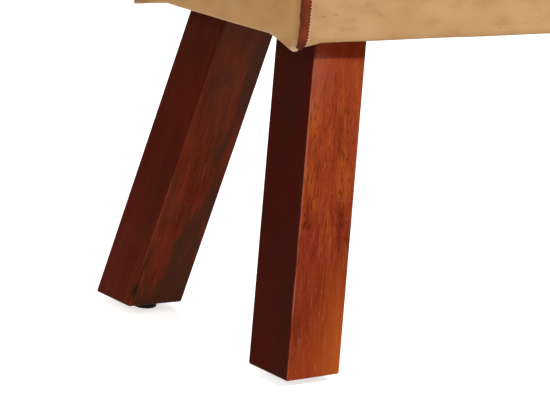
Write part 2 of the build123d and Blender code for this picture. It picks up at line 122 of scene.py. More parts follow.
lamps = {
    # name: where the lamp stands as seen from the bench's near end, its size and its strength
    "keyLamp": {"azimuth": 3, "elevation": 36, "distance": 3300, "size": 150, "watts": 110},
    "endLamp": {"azimuth": -84, "elevation": 22, "distance": 3000, "size": 1800, "watts": 42},
    "topLamp": {"azimuth": 30, "elevation": 82, "distance": 3200, "size": 3200, "watts": 32},
    "backLamp": {"azimuth": 150, "elevation": 35, "distance": 3400, "size": 1800, "watts": 26},
}
lampTarget = Vector((-300, 0, 250))
room = {
    "floorSize": 90000, "floorColour": "#CECDCB", "floorLight": "#F6F5F3", "floorGlow": 0.76,
    "floorRoughness": 0.9, "sky": "#FFFFFF", "skyStrength": 0.42,
}


def addObject(name, data):
    thing = bpy.data.objects.new(name, data)
    bpy.context.scene.collection.objects.link(thing)
    return thing


def aim(azimuth, elevation):
    # unit vector towards a lamp: azimuth 0 is in front, 90 is past the right end
    turn, rise = math.radians(azimuth), math.radians(elevation)
    return Vector((math.sin(turn) * math.cos(rise), -math.cos(turn) * math.cos(rise), math.sin(rise)))


def makeCamera():
    data = bpy.data.cameras.new("photoCamera")
    data.lens = camera["lens"]
    data.clip_end = 200
    yaw, pitch, roll = (math.radians(camera[k]) for k in ("yaw", "pitch", "roll"))
    forward = Vector((math.sin(yaw) * math.cos(pitch), math.cos(yaw) * math.cos(pitch), -math.sin(pitch)))
    level = Vector((math.cos(yaw), -math.sin(yaw), 0))
    upright = level.cross(forward)
    right = math.cos(roll) * level + math.sin(roll) * upright
    up = math.cos(roll) * upright - math.sin(roll) * level
    stand = Matrix((right, up, -forward)).transposed().to_4x4()
    stand.translation = (Vector(camera["target"]) - forward * camera["distance"]) * mm
    eye = addObject("photoCamera", data)
    eye.matrix_world = stand
    bpy.context.scene.camera = eye


def makeRoom():
    for name, lamp in lamps.items():
        data = bpy.data.lights.new(name, "AREA")
        data.shape = "DISK"
        data.size = lamp["size"] * mm
        data.energy = lamp["watts"]
        way = aim(lamp["azimuth"], lamp["elevation"])
        holder = addObject(name, data)
        holder.location = (lampTarget + way * lamp["distance"]) * mm
        holder.rotation_euler = way.to_track_quat("Z", "Y").to_euler()
        holder.visible_camera = False
    world = bpy.data.worlds.new("studio")
    world.use_nodes = True
    setInputs(world.node_tree, world.node_tree.nodes["Background"],
              {"Color": linear(room["sky"]), "Strength": room["skyStrength"]})
    bpy.context.scene.world = world
    half = room["floorSize"] * mm / 2
    mesh = bpy.data.meshes.new("studioFloor")
    mesh.from_pydata([(-half, -half, 0), (half, -half, 0), (half, half, 0), (-half, half, 0)], [], [(0, 1, 2, 3)])
    # white acrylic sheet lit from below, as used for pictures on plain white
    acrylic = newFinish("white light table")[0]
    closeFinish(acrylic, room["floorColour"], [], {
        "Roughness": room["floorRoughness"],
        "Emission Color": linear(room["floorLight"]),
        "Emission Strength": room["floorGlow"],
    })
    mesh.materials.append(acrylic)
    addObject("studioFloor", mesh)
    bpy.context.scene.view_settings.view_transform = "Standard"


makeCamera()
makeRoom()
print("camera, floor and lamps are set")


# Finishes

# goat leather, drum dyed and waxed: warm tan, nearly even, with small healed scars and scratches
tanHides = {
    "side": {
        "pale": "#93754F", "deep": "#8B6A45", "shade": "#7E5F3B", "ends": "#936F50", "scar": "#5E4026",
        "rub": "#A28060", "hemEdge": "#7C5A3A", "creaseShade": "#3C1E12",
        "seamHighlightFrom": 8.6, "seamHighlightAmount": 0.6, "hemRun": 6.0, "hemAmount": 0.5, "cloudShift": 3.0,
        "across": "X", "tipPale": 0.0, "creaseFoot": -7.5,
    },
    "end": {
        "pale": "#916F46", "deep": "#8B6940", "shade": "#82613A", "ends": "#8D6A42", "scar": "#573A22",
        "rub": "#9A7959", "hemEdge": "#AE8A72", "creaseShade": "#4A2412",
        "seamHighlightFrom": 6.4, "seamHighlightAmount": 0.15, "hemRun": 1.5, "hemAmount": 0.3, "cloudShift": 8.0,
        "across": "Y", "tipPale": 0.9, "creaseFoot": 3.0,
    },
}
hideMarks = {
    "cloudSize": 90, "patchSize": 13, "patchStretch": (0.45, 0.45, 1.0), "breakSize": 8,
    "scarSpacing": 16, "scarSize": 1.0, "scratchSpacing": 13, "scratchLength": 6.5,
    "scratchWidth": 0.42, "scratchCore": 0.16, "lineSize": 9.0,
    "grainSize": 1.6,  # real grain is about 0.6 mm, drawn coarser so that it shows
    "roughness": 0.66, "bump": 0.1, "bumpHeight": 0.6, "creaseRun": 5.0,
}


def makeTanLeather(hide):
    s, m = tanHides[hide], hideMarks
    finish, add, spot = newFinish("waxed goat leather " + hide)
    parts = add("SeparateXYZ", [spot])
    hem = add("Attribute", attribute_name="hemDistance")["Fac"]
    seam = add("Attribute", attribute_name="seamDistance")["Fac"]
    moved = add("Mapping", {"Vector": spot, "Location": (s["cloudShift"], 0, 0)})[0]
    stretched = add("Mapping", {"Vector": spot, "Scale": m["patchStretch"]})[0]
    clouds = add("TexNoise", {"Vector": moved, "Scale": perMetre(m["cloudSize"]), "Detail": 3})["Fac"]
    patches = add("TexNoise", {"Vector": stretched, "Scale": perMetre(m["patchSize"]), "Detail": 5})["Fac"]
    lines = add("TexNoise", {"Vector": stretched, "Scale": perMetre(m["lineSize"]), "Detail": 1})["Fac"]
    breaks = add("TexNoise", {"Vector": spot, "Scale": perMetre(m["breakSize"]), "Detail": 2})["Fac"]

    # healed scars: dark dots, and short scratches that run any way, one to a cell of the flattened hide
    dots = add("TexVoronoi", {"Vector": spot, "Scale": perMetre(m["scarSpacing"])})["Distance"]
    dotSize = m["scarSize"] / m["scarSpacing"]
    dot = add("MapRange", [dots, dotSize, 0.4 * dotSize, 0, 0.75])[0]
    rise = add("Math", [hem, mm], "MULTIPLY")[0]
    flat = add("CombineXYZ", {"X": parts[s["across"]], "Y": rise})[0]
    cells = add("TexVoronoi", {"Vector": flat, "Scale": perMetre(m["scratchSpacing"])}, voronoi_dimensions="2D")
    away = add("VectorMath", [flat, cells["Position"]], "SUBTRACT")[0]
    chance = add("SeparateXYZ", [cells["Color"]])
    angle = add("MapRange", {0: chance["X"], 3: -0.9, 4: 0.9})[0]
    turned = add("VectorRotate", {"Vector": away, "Angle": angle}, rotation_type="Z_AXIS")[0]
    stroke = add("SeparateXYZ", [turned])
    bent = add("MapRange", {0: breaks, 3: -1.5 * mm, 4: 1.5 * mm})[0]
    beside = add("Math", [stroke["Y"], bent], "ADD")[0]
    beside = add("Math", [beside], "ABSOLUTE")[0]
    along = add("Math", [stroke["X"]], "ABSOLUTE")[0]
    halfLength = m["scratchLength"] / 2 * mm
    reach = add("MapRange", {0: chance["Z"], 3: 0.25 * halfLength, 4: 1.25 * halfLength})[0]
    past = add("Math", [along, reach], "SUBTRACT")[0]
    depth = add("MapRange", [chance["Y"], 0.55, 1.0, 0, 0.65])[0]
    depth = add("MapRange", [past, 0.0, -0.6 * mm, 0, depth])[0]
    scratch = add("MapRange", [beside, m["scratchWidth"] * mm, m["scratchCore"] * mm, 0, depth])[0]
    marks = add("Math", [dot, scratch], "MAXIMUM")[0]

    # growth lines of the hide: thin, faint and wandering, only here and there
    fromLine = add("Math", [lines, 0.5], "SUBTRACT")[0]
    fromLine = add("Math", [fromLine], "ABSOLUTE")[0]
    here = add("MapRange", [patches, 0.48, 0.62, 0, 0.35])[0]

    # the seam's dark crease, painted shade beside the piping, which stops above the foot of an end, whose corners
    # hang free and are paler
    fromSeam = add("Math", [breaks, 1.6, seam], "MULTIPLY_ADD")[0]
    aboveFoot = add("MapRange", [hem, s["creaseFoot"], s["creaseFoot"] + 3.5])[0]
    lowDown = add("MapRange", [hem, 13.0, 2.0, 0, s["tipPale"]])[0]
    endward = add("Math", [parts["X"]], "ABSOLUTE")[0]
    layers = [
        (clouds, 0.35, 0.65, 1, s["deep"]),
        # the colour runs pinker and darker towards the ends of the bench
        (endward, 0.42, 0.56, 0.75, s["ends"]),
        (patches, 0.5, 0.66, 0.4, s["shade"]),
        (patches, 0.44, 0.3, 0.15, s["rub"]),
        (fromLine, 0.022, 0.004, here, s["shade"]),
        (marks, 0, 1, 1, s["scar"]),
        # painted shade along the side's hem, where the leather rolls under, and the end's hem is paler
        (hem, s["hemRun"], 0.0, s["hemAmount"], s["hemEdge"]),
        # a pale strip beside the seam, a painted highlight where the panel turns into it
        (fromSeam, s["seamHighlightFrom"] + 0.9, s["seamHighlightFrom"] - 1.6, s["seamHighlightAmount"], s["rub"]),
        (seam, 12.0, 4.0, lowDown, s["hemEdge"]),
        (fromSeam, m["creaseRun"] + 1.2, m["creaseRun"] + 0.4, aboveFoot, s["creaseShade"]),
    ]
    # pebbled grain and the scars stand in the surface
    grain = add("TexVoronoi", {"Vector": spot, "Scale": perMetre(m["grainSize"])}, feature="SMOOTH_F1")["Distance"]
    relief = add("Math", [marks, -0.6, grain], "MULTIPLY_ADD")[0]
    gloss = add("MapRange", [patches, 0.3, 0.7, m["roughness"] - 0.07, m["roughness"] + 0.07])[0]
    return closeFinish(finish, s["pale"], layers, {"Roughness": gloss, "IOR": 1.46, "Specular IOR Level": 0.12},
                       relief, m["bump"], m["bumpHeight"])


pipingLeather = {
    # the same hide dyed red-brown: matte, a little paler where the cord presses it out
    "pale": "#5A2411", "deep": "#4C1A0B", "foot": "#33140A", "cloudSize": 14, "grainSize": 1.4, "creaseSize": 2.6,
    "roughness": 0.62,
}


def makePipingLeather():
    s = pipingLeather
    finish, add, spot = newFinish("red-brown piping leather")
    clouds = add("TexNoise", {"Vector": spot, "Scale": perMetre(s["cloudSize"]), "Detail": 4})["Fac"]
    creases = add("TexNoise", {"Vector": spot, "Scale": perMetre(s["creaseSize"]), "Detail": 2,
                               "Distortion": 0.8})["Fac"]
    grain = add("TexVoronoi", {"Vector": spot, "Scale": perMetre(s["grainSize"])})["Distance"]
    rise = add("SeparateXYZ", [spot])["Z"]
    hem = low("hem_staples").z * mm
    layers = [
        (clouds, 0.35, 0.65, 1, s["deep"]),
        # painted shade, darker towards its foot at the hem
        (rise, hem + 6 * mm, hem - 4 * mm, 0.7, s["foot"]),
    ]
    relief = add("Math", [grain, creases], "ADD")[0]
    return closeFinish(finish, s["pale"], layers, {"Roughness": s["roughness"], "Specular IOR Level": 0.05},
                       relief, 0.25, 0.5)


def makeThread():
    # bonded polyester thread, dark brown: faint sheen, its twist too fine to see
    finish, add, spot = newFinish("dark brown polyester thread")
    twist = add("TexNoise", {"Vector": spot, "Scale": perMetre(1.2)})["Fac"]
    layers = [(twist, 0, 1, 1, "#34150A")]
    return closeFinish(finish, "#4E2110", layers, {"Roughness": 0.6, "Specular IOR Level": 0.02})


# mango wood, stained red-brown and lacquered: straight grain with dark pores, a soft gloss
legWood = {
    # the pale worn tone is real wear at the arrises and grain, and also a painted highlight near a leg's top
    "pale": "#6A270F", "mid": "#5A1B0B", "dark": "#461207", "pore": "#260A04", "wornAndHighlight": "#84493A",
    "foot": "#924716", "top": "#7C351A", "endDark": "#300702", "sideDark": "#402016", "olive": "#230C05",
    # the tone here for a leg's top under the cover is the hem's painted shadow, and the grey one for a side's upper
    # part is painted shade under the seat
    "amber": "#84400F", "hemShadow": "#5A1300", "upperShade": "#42261E", "crack": "#16120A",
    "roughness": 0.42, "bump": 0.22, "bumpHeight": 0.35,
}

woodGrains = {
    # name: its size in mm, how far it is drawn out along the leg, its shift, detail, distortion and roughness
    "figure": (20, 0.2, 0.0, 4, 0.35, 0.55),
    "warm": (13, 0.3, 3.3, 4, 0.4, 0.5),
    "lines": (1.9, 0.06, 0.5, 3, 0.0, 0.6),
    "streaks": (4.2, 0.13, 2.2, 2, 0.0, 0.5),
    "fills": (1.1, 0.14, 4.1, 1, 0.0, 0.5),
    "dashes": (1.5, 0.16, 0.9, 1, 0.0, 0.5),
    "gashes": (2.8, 0.2, 6.4, 2, 0.3, 0.5),
    "blotches": (26, 0.3, 1.7, 3, 0.5, 0.5),
    "wobble": (7, 0.2, 0.0, 3, 0.0, 0.5),
    "bend": (9, 0.55, -5.4, 3, 0.0, 0.5),
}

woodTones = (
    # grain, the range in which the tone comes up, how strong it gets
    ("figure", 0.36, 0.6, 1.0, "mid"),
    ("figure", 0.55, 0.72, 0.85, "dark"),
    ("lines", 0.5, 0.75, 0.32, "dark"),
    ("lines", 0.46, 0.3, 0.3, "wornAndHighlight"),
    ("streaks", 0.62, 0.72, 0.6, "dark"),
    ("fills", 0.68, 0.76, 0.5, "wornAndHighlight"),  # pale dashes where the filler stayed in a pore
)

legNames = ("front_left", "back_left", "front_right", "back_right")
legTrims = {
    # how the legs, in the order of their names, differ in tone, wear and painted light and shade: shares, and a
    # shift of the grain
    "grainShift": (3.1, 7.7, 1.9, 5.3),
    "pores": (1.0, 0.25, 0.8, 0.6),
    "warmth": (0.55, 0.15, 0.4, 0.3),
    "rub": (0.75, 0.15, 0.6, 0.4),
    "crack": (0, 1, 0, 0),
    "endDark": (0.98, 0.86, 0.8, 0.85),
    "endFade": (0.05, 0.2, 0.1, 0.1),
    "sideDark": (0.0, 0.6, 0.0, 0.4),
    "innerDark": (0.0, 0.7, 0.0, 0.3),
    "paleTop": (0.8, 0.1, 0.5, 0.3),
    "paleFoot": (1.0, 0.1, 0.4, 0.3),
}

legs = {
    "side": 62.0, "leanAlong": 9.4, "leanAcross": 11.9,
    "arris": 2.0, "footEdge": 2.4, "arrisSteps": 5, "footSteps": 4,
}


def legFrame(corner):
    # the middle of a leg's top, and its own axes: x towards the end, y across, z up along the leg
    plateLow, plateHigh = low("leg_plate_" + corner), high("leg_plate_" + corner)
    top = Vector(((plateLow.x + plateHigh.x) / 2, (plateLow.y + plateHigh.y) / 2, plateLow.z))
    leanX = math.copysign(math.tan(math.radians(legs["leanAlong"])), -top.x)
    leanY = math.copysign(math.tan(math.radians(legs["leanAcross"])), -top.y)
    axisZ = Vector((leanX, leanY, 1)).normalized()
    axisX = Vector((0, 1, 0)).cross(axisZ).normalized()
    axisY = axisZ.cross(axisX)
    return top, Matrix((axisX, axisY, axisZ)).transposed()


def makeLegWood(corner):
    s, number = legWood, legNames.index(corner)
    trim = {name: shares[number] for name, shares in legTrims.items()}
    finish, add, spot = newFinish("lacquered mango wood " + corner)
    top, axes = legFrame(corner)
    half = legs["side"] / 2 * mm
    outward, front = math.copysign(1, top.x), math.copysign(1, top.y)
    length = (top.z - low("leg_" + corner).z) / axes.col[2].z * mm
    # the leg's own coordinates, so that the grain runs along it; z is 0 at its top
    own = add("Mapping", {"Vector": spot, "Location": top * mm, "Rotation": axes.to_euler()},
              vector_type="TEXTURE")[0]
    x, y, z = add("SeparateXYZ", [own]).values()
    grains = {}
    for name, (size, stretch, shift, detail, distortion, roughness) in woodGrains.items():
        shift += trim["grainShift"]
        moved = (shift, shift * 0.7, shift * 0.3)
        drawn = add("Mapping", {"Vector": own, "Location": moved, "Scale": (1, 1, stretch)})[0]
        grains[name] = add("TexNoise", {"Vector": drawn, "Scale": perMetre(size), "Detail": detail,
                                        "Distortion": distortion, "Roughness": roughness})["Fac"]
    layers = [(grains[name], start, end, strength, s[tone]) for name, start, end, strength, tone in woodTones]
    warmer = add("MapRange", [z, -0.85 * length, -0.4 * length, 0, trim["warmth"]])[0]
    layers.insert(2, (grains["warm"], 0.5, 0.62, warmer, s["amber"]))

    # pores: short dark dashes along the grain, crowded in some bands and few in others
    crowd = add("Math", [
        add("MapRange", [grains["figure"], 0.35, 0.65, 0, 0.05])[0],
        add("MapRange", [z, -0.55 * length, -0.2 * length, 0, 0.028])[0],
    ], "ADD")[0]
    dashes = add("Math", [grains["dashes"], crowd], "ADD")[0]
    gashes = add("Math", [grains["gashes"], crowd], "ADD")[0]
    pores = add("Math", [
        add("MapRange", [dashes, 0.64, 0.69, 0, 0.72])[0],
        add("MapRange", [gashes, 0.645, 0.69, 0, 0.75])[0],
    ], "MAXIMUM")[0]
    fewer = add("MapRange", [z, -0.75 * length, -0.5 * length, 0.3 * trim["pores"], trim["pores"]])[0]
    pores = add("Math", [pores, fewer], "MULTIPLY")[0]
    layers.append((pores, 0, 1, 1, s["pore"]))

    # paler towards the top, with a painted highlight on the outer side there, and more orange at the inner side of
    # the foot
    layers.append((z, -0.6 * length, -0.1 * length, 0.7 * trim["paleTop"], s["top"]))
    topHighlight = add("MapRange", [z, -105 * mm, -55 * mm, 0, 0.5 * trim["paleTop"]])[0]
    layers.append((x, 0.1 * outward * half, outward * half, topHighlight, s["wornAndHighlight"]))
    innerRange = {0: x, 1: 0.2 * outward * half, 2: -outward * half}
    footRange = {0: z, 1: -0.62 * length, 2: -length}
    orange = add("MapRange", {**innerRange, 3: 0.1 * trim["paleFoot"], 4: 0.72 * trim["paleFoot"]})[0]
    layers.append((*footRange.values(), orange, s["foot"]))

    # the end faces, and on some legs the sides, are darker, the ends less so towards the foot
    absX = add("Math", [x], "ABSOLUTE")[0]
    absY = add("Math", [y], "ABSOLUTE")[0]
    across = add("Math", [absX, absY], "SUBTRACT")[0]
    sideRange = {0: across, 1: 0.4 * mm, 2: -0.8 * mm}
    blotchRange = {0: grains["blotches"], 1: 0.42, 2: 0.62}
    endTone = add("Mix", {0: add("MapRange", {**blotchRange, 4: 0.55})[0], 6: linear(s["endDark"]),
                        7: linear(s["olive"])}, data_type="RGBA")[2]
    fading = add("MapRange", {**footRange, 3: trim["endDark"], 4: trim["endDark"] * (1 - trim["endFade"])})[0]
    layers.append((across, -0.4 * mm, 0.8 * mm, fading, endTone))
    sideFace = add("MapRange", {**sideRange, 4: trim["sideDark"]})[0]
    uneven = sideFace
    for spread in ({**blotchRange, 3: 0.25, 4: 1.35}, {**footRange, 3: 1.0, 4: 2.0},
                   {**innerRange, 3: 1.0, 4: 1.0 + trim["innerDark"]}):
        uneven = add("Math", [uneven, add("MapRange", spread)[0]], "MULTIPLY")[0]
    layers.append((uneven, 0, 1, 1, s["sideDark"]))
    # such a side is greyer and darker in its upper part: painted shade under the seat
    upper = add("MapRange", [z, -0.48 * length, -0.16 * length, 0, sideFace])[0]
    upperShade = add("MapRange", {**blotchRange, 3: 0.7, 4: 1.2})[0]
    layers.append((add("Math", [upper, upperShade], "MULTIPLY")[0], 0, 1, 1, s["upperShade"]))

    # rubbed arrises: the lacquer is thin there and the wood shows paler, but not beside a crack
    nearest = add("Math", [absX, absY], "MINIMUM")[0]
    rub = trim["rub"]
    if trim["crack"]:
        rub = add("MapRange", [z, 45 * mm - length, 60 * mm - length, 0, rub])[0]
    rub = add("MapRange", [grains["wobble"], 0.3, 0.52, 0, rub])[0]
    layers.append((nearest, half - 1.5 * mm, half - 0.6 * mm, rub, s["wornAndHighlight"]))
    # painted shade: the hem's shadow at the top of the front and back faces, under the cover
    hemShadowShare = add("MapRange", {**sideRange, 4: 0.65 * trim["paleTop"]})[0]
    layers.append((z, -43 * mm, -38 * mm, hemShadowShare, s["hemShadow"]))
    if trim["crack"]:
        # a drying crack beside the outer front arris, which opens above the foot and closes before it
        fromCrack = add("Math", [x, -outward, half - 4.4 * mm], "MULTIPLY_ADD")[0]
        fromCrack = add("Math", [grains["bend"], 6.0 * mm, fromCrack], "MULTIPLY_ADD")[0]
        fromCrack = add("Math", [fromCrack], "ABSOLUTE")[0]
        towardsFront = add("Math", [y, -front], "MULTIPLY")[0]
        split = add("MapRange", [z, 7 * mm - length, 15 * mm - length, 0, 0.85])[0]
        split = add("MapRange", [z, 56 * mm - length, 40 * mm - length, 0, split])[0]
        split = add("MapRange", [towardsFront, half - 6 * mm, half - 4 * mm, 0, split])[0]
        layers.append((fromCrack, 1.9 * mm, 0.7 * mm, split, s["crack"]))
    ridges = add("Math", [grains["lines"], 0.5], "MULTIPLY")[0]
    relief = add("Math", [pores, -1.0, ridges], "MULTIPLY_ADD")[0]
    gloss = add("MapRange", [grains["lines"], 0.3, 0.7, s["roughness"] - 0.05, s["roughness"] + 0.12])[0]
    return closeFinish(finish, s["pale"], layers, {"Roughness": gloss, "IOR": 1.5, "Specular IOR Level": 0.012},
                       relief, s["bump"], s["bumpHeight"])


def makePlainWood(name, pale, dark, ringSize, stretch):
    # soft construction wood, sawn: growth lines along the board, dull
    finish, add, spot = newFinish(name)
    drawn = add("Mapping", {"Vector": spot, "Scale": stretch})[0]
    lines = add("TexNoise", {"Vector": drawn, "Scale": perMetre(ringSize), "Detail": 4, "Distortion": 0.5})["Fac"]
    layers = [(lines, 0.35, 0.65, 1, dark)]
    return closeFinish(finish, pale, layers, {"Roughness": 0.75}, lines, 0.3, 0.4)


def makePlywood():
    # birch-faced poplar plywood: pale face, and plies that show as stripes on the edges
    finish, add, spot = newFinish("poplar plywood")
    drawn = add("Mapping", {"Vector": spot, "Scale": (0.06, 1, 1)})[0]
    lines = add("TexNoise", {"Vector": drawn, "Scale": perMetre(5), "Detail": 4, "Distortion": 0.4})["Fac"]
    plies = add("TexWave", {"Vector": spot, "Scale": perMetre(3) / 20, "Distortion": 0.4},
                bands_direction="Z")["Fac"]
    upright = add("SeparateXYZ", [add("NewGeometry")["True Normal"]])["Z"]
    flat = add("Math", [upright], "ABSOLUTE")[0]
    layers = [(lines, 0, 1, 1, "#B99A6C"), (flat, 0.6, 0.3, plies, "#8A6A44")]
    return closeFinish(finish, "#D9C29A", layers, {"Roughness": 0.7})


def makeFoam():
    # open-cell polyurethane foam: cream, matte, with small round pits
    finish, add, spot = newFinish("cream polyurethane foam")
    cells = add("TexVoronoi", {"Vector": spot, "Scale": perMetre(1.5)})["Distance"]
    return closeFinish(finish, "#D8C690", [(cells, 0, 1, 1, "#F0E4BC")], {"Roughness": 0.95}, cells, 0.5, 0.8)


def makeSpeckled(name, pale, dark, speckSize, roughness, metallic=0.0, bumpHeight=0.05, gloss=0.5):
    # one even stuff with a fine, uneven skin: moulded plastic, plated or oiled steel, spun cloth
    finish, add, spot = newFinish(name)
    specks = add("TexNoise", {"Vector": spot, "Scale": perMetre(speckSize), "Detail": 4})["Fac"]
    layers = [(specks, 0.35, 0.65, 1, dark)]
    rough = add("MapRange", [specks, 0.3, 0.7, roughness - 0.08, roughness + 0.08])[0]
    surface = {"Roughness": rough, "Metallic": metallic, "Specular IOR Level": gloss}
    return closeFinish(finish, pale, layers, surface, specks, 0.3, bumpHeight)


tanSide = makeTanLeather("side")
tanEnd = makeTanLeather("end")
brown = makePipingLeather()
thread = makeThread()
pine = makePlainWood("sawn pine", "#D8B27A", "#B98A50", 4, (0.05, 1, 1))
pineAcross = makePlainWood("sawn pine crosswise", "#D5AE76", "#B4854C", 4, (1, 0.05, 1))
plywood = makePlywood()
foam = makeFoam()
cotton = makeSpeckled("twisted cotton cord", "#E4DCC8", "#B8AE98", 1.6, 0.9, bumpHeight=0.6)
lining = makeSpeckled("black spunbond lining", "#26262A", "#141416", 1.4, 0.85, bumpHeight=0.3)
# injection moulded polyethylene: black, satin, faintly scuffed
glidePlastic = makeSpeckled("moulded black polyethylene", "#100F0E", "#070706", 2.5, 0.5, gloss=0.12)
# hot-rolled plate, black oiled; screws and bolts zinc plated or blackened
plateSteel = makeSpeckled("oiled steel plate", "#45464A", "#2B2C2F", 6, 0.42, metallic=1.0)
blackSteel = makeSpeckled("blackened steel", "#2C2C2E", "#171718", 1.5, 0.38, metallic=0.9)
zincSteel = makeSpeckled("zinc plated steel", "#B9BBB8", "#8F918F", 2.0, 0.34, metallic=1.0)
legWoods = {corner: makeLegWood(corner) for corner in legNames}
print("finishes are made")


# The CAD pieces whose shape is right keep it, and take their finish here

def dress(nodeName, finish):
    mesh = nodes[nodeName].data
    mesh.materials.clear()
    mesh.materials.append(finish)


nodeFinishes = {
    # how the names of the nodes start; a later entry wins over an earlier one
    "glide_nails": zincSteel, "leg_plate_": plateSteel, "leg_bolts": blackSteel, "leg_screws": zincSteel,
    "tee_nuts": zincSteel, "frame_screws": blackSteel, "deck_screws": blackSteel, "ledger_screws": blackSteel,
    "board_screws": blackSteel, "hem_staples": zincSteel, "dust_cover": lining, "dust_cover_staples": zincSteel,
    "glide_front": glidePlastic, "glide_back": glidePlastic, "base_board": plywood, "seat_deck": plywood,
    "side_rail": pine, "ledger_front": pine, "ledger_back": pine, "end_rail": pineAcross,
    "cross_rail": pineAcross, "corner_block": pineAcross,
}
for nodeName in nodes:
    for start, finish in nodeFinishes.items():
        if nodeName.startswith(start):
            dress(nodeName, finish)
for corner, finish in legWoods.items():
    dress("leg_" + corner, finish)
print("CAD pieces are finished")


# The padded body: an arch that runs the seat's length, drawn in at the seams

leather = {
    "thickness": 1.5, "hemRoll": 1.7, "hemFold": 3.4, "hemStep": 6.2, "hemSag": 1.7,
    "flatSteps": 7, "foldSteps": 6, "rollSteps": 5,
}

body = {
    "halfWidth": high("cover_panel_middle").y,
    "halfLength": high("cover_panel_right").x + leather["thickness"],
    "top": high("cover_panel_middle").z,
    "hem": low("hem_staples").z,
    "shoulder": 48.0, "crown": 20.0, "hemDraw": 3.0,
    "seamDips": (6.0, 2.0), "endDips": (7.0, 1.5), "endBulge": 4.0, "bulgeRun": 12.0,
    "turnDepth": high("side_rail_back").y - low("side_rail_back").y,
}

seams = {
    "pipingRadius": 4.1, "pipingInset": 0.4, "endRound": 4.2, "endRoundRun": 6.0, "endRoundStart": 3,
    "pipingEnd": body["halfLength"] - 5.0,
    "cross": body["halfLength"] / 3,
    "valleyDepth": 2.0, "valleyRun": 2.3, "valleyStart": 3.1, "edge": 1.4,
    "puckerDepth": 0.45, "cornerPucker": 1.0, "puckerPitch": 11.0, "puckerRun": 9.0, "puckerStart": 3,
    "cornerRun": 60, "cornerFrom": 1.6, "cornerTo": 4.1,
    "foldGap": 0.15, "foldRun": 10, "foldRise": 2,
    "pathRows": {"side": 56, "shoulder": 28, "crown": 50},
}

ears = {
    # corners of the cover that hang below the hem, and kick out towards the end
    "frontWidth": 22.0, "frontDrop": 4.7, "endWidths": {-1: 46.0, 1: 50.0}, "endDrops": {-1: 11.5, 1: 8.6},
    "tipRuns": {-1: 4.7, 1: 2.6}, "pipingDrops": {-1: 6.3, 1: 3.6}, "seamShare": 0.72,
    "kicks": {-1: 4.5, 1: 13.0}, "kickFoot": 5.9, "kickHeight": 4.6, "kickRun": 15.0,
}

wear = {
    "waveSize": 85.0, "waveHeight": 0.8, "seamFade": 30, "hemFade": 40,
    "hemWave": 0.45, "hemWaveSize": 60.0, "seed": 11.0,
}


def archShape(dips):
    # the sizes of the arch where the body dips by this much at the top and the sides
    topDip, sideDip = dips
    half = body["halfWidth"] - sideDip
    radius = body["shoulder"]
    shoulderZ = body["top"] - topDip - body["crown"] - radius
    reach = half - radius
    fall = (reach ** 2 - body["crown"] ** 2) / (2 * body["crown"])
    draw = body["hemDraw"] - sideDip
    height = shoulderZ - body["hem"]
    return {
        "half": half, "radius": radius, "shoulderZ": shoulderZ, "reach": reach, "fall": fall,
        "turn": math.atan2(fall, reach), "crownRadius": fall + body["crown"] + radius,
        "sideRadius": (height ** 2 + draw ** 2) / (2 * draw),
    }


def archPoint(shape, part, share, foot):
    # a point of the arch's right half, the way out of it, and how far it is from the foot
    if part == "side":
        z = foot + share * (shape["shoulderZ"] - foot)
        below = (shape["shoulderZ"] - z) / shape["sideRadius"]
        outward = Vector((math.sqrt(1 - below ** 2), -below))
        y = shape["half"] - shape["sideRadius"] * (1 - outward.x)
        return Vector((y, z)), outward, z - foot
    if part == "shoulder":
        angle = share * shape["turn"]
        outward = Vector((math.cos(angle), math.sin(angle)))
        centre = Vector((shape["reach"], shape["shoulderZ"]))
        return centre + outward * shape["radius"], outward, shape["shoulderZ"] - foot + angle * shape["radius"]
    angle = shape["turn"] + share * (math.pi / 2 - shape["turn"])
    outward = Vector((math.cos(angle), math.sin(angle)))
    centre = Vector((0, shape["shoulderZ"] - shape["fall"]))
    run = shape["shoulderZ"] - foot + shape["turn"] * shape["radius"]
    return centre + outward * shape["crownRadius"], outward, run + (angle - shape["turn"]) * shape["crownRadius"]


def archHalf(shape, counts, foot):
    # the arch's right half, point by point from the foot to the middle of the crown
    for part, count in counts.items():
        for i in range(count + (part == "crown")):
            yield archPoint(shape, part, i / count, foot)


def eased(count, straight):
    # shares from 0 to 1 that crowd at both ends
    steps = [i / count for i in range(count + 1)]
    return [straight * t + (1 - straight) * (0.5 - 0.5 * math.cos(math.pi * t)) for t in steps]


def smooth(value):
    value = min(1, max(0, value))
    return value * value * (3 - 2 * value)


def kickOut(y, z, distance):
    # how far a corner of the cover leans out towards the bench's end
    height = max(0, z - (body["hem"] - ears["kickFoot"])) / ears["kickHeight"]
    return ears["kicks"][-1 if y < 0 else 1] * math.exp(-height) * math.exp(-(distance / ears["kickRun"]) ** 2)


def earDrop(distance, width, drop):
    return drop * max(0, 1 - distance / width)


def endEarDrop(y, distance):
    # the end's corners hang lowest a little way from the seam, the front one more than the back one
    side = -1 if y < 0 else 1
    tipRun = ears["tipRuns"][side]
    drop = earDrop(max(tipRun, distance), ears["endWidths"][side], ears["endDrops"][side])
    share = min(1, distance / tipRun)
    return share * drop + (1 - share) * ears["seamShare"] * ears["pipingDrops"][side]


def hemWave(along, side):
    return wear["hemWave"] * noise.noise(Vector((along / wear["hemWaveSize"], side * 3.7, wear["seed"])))


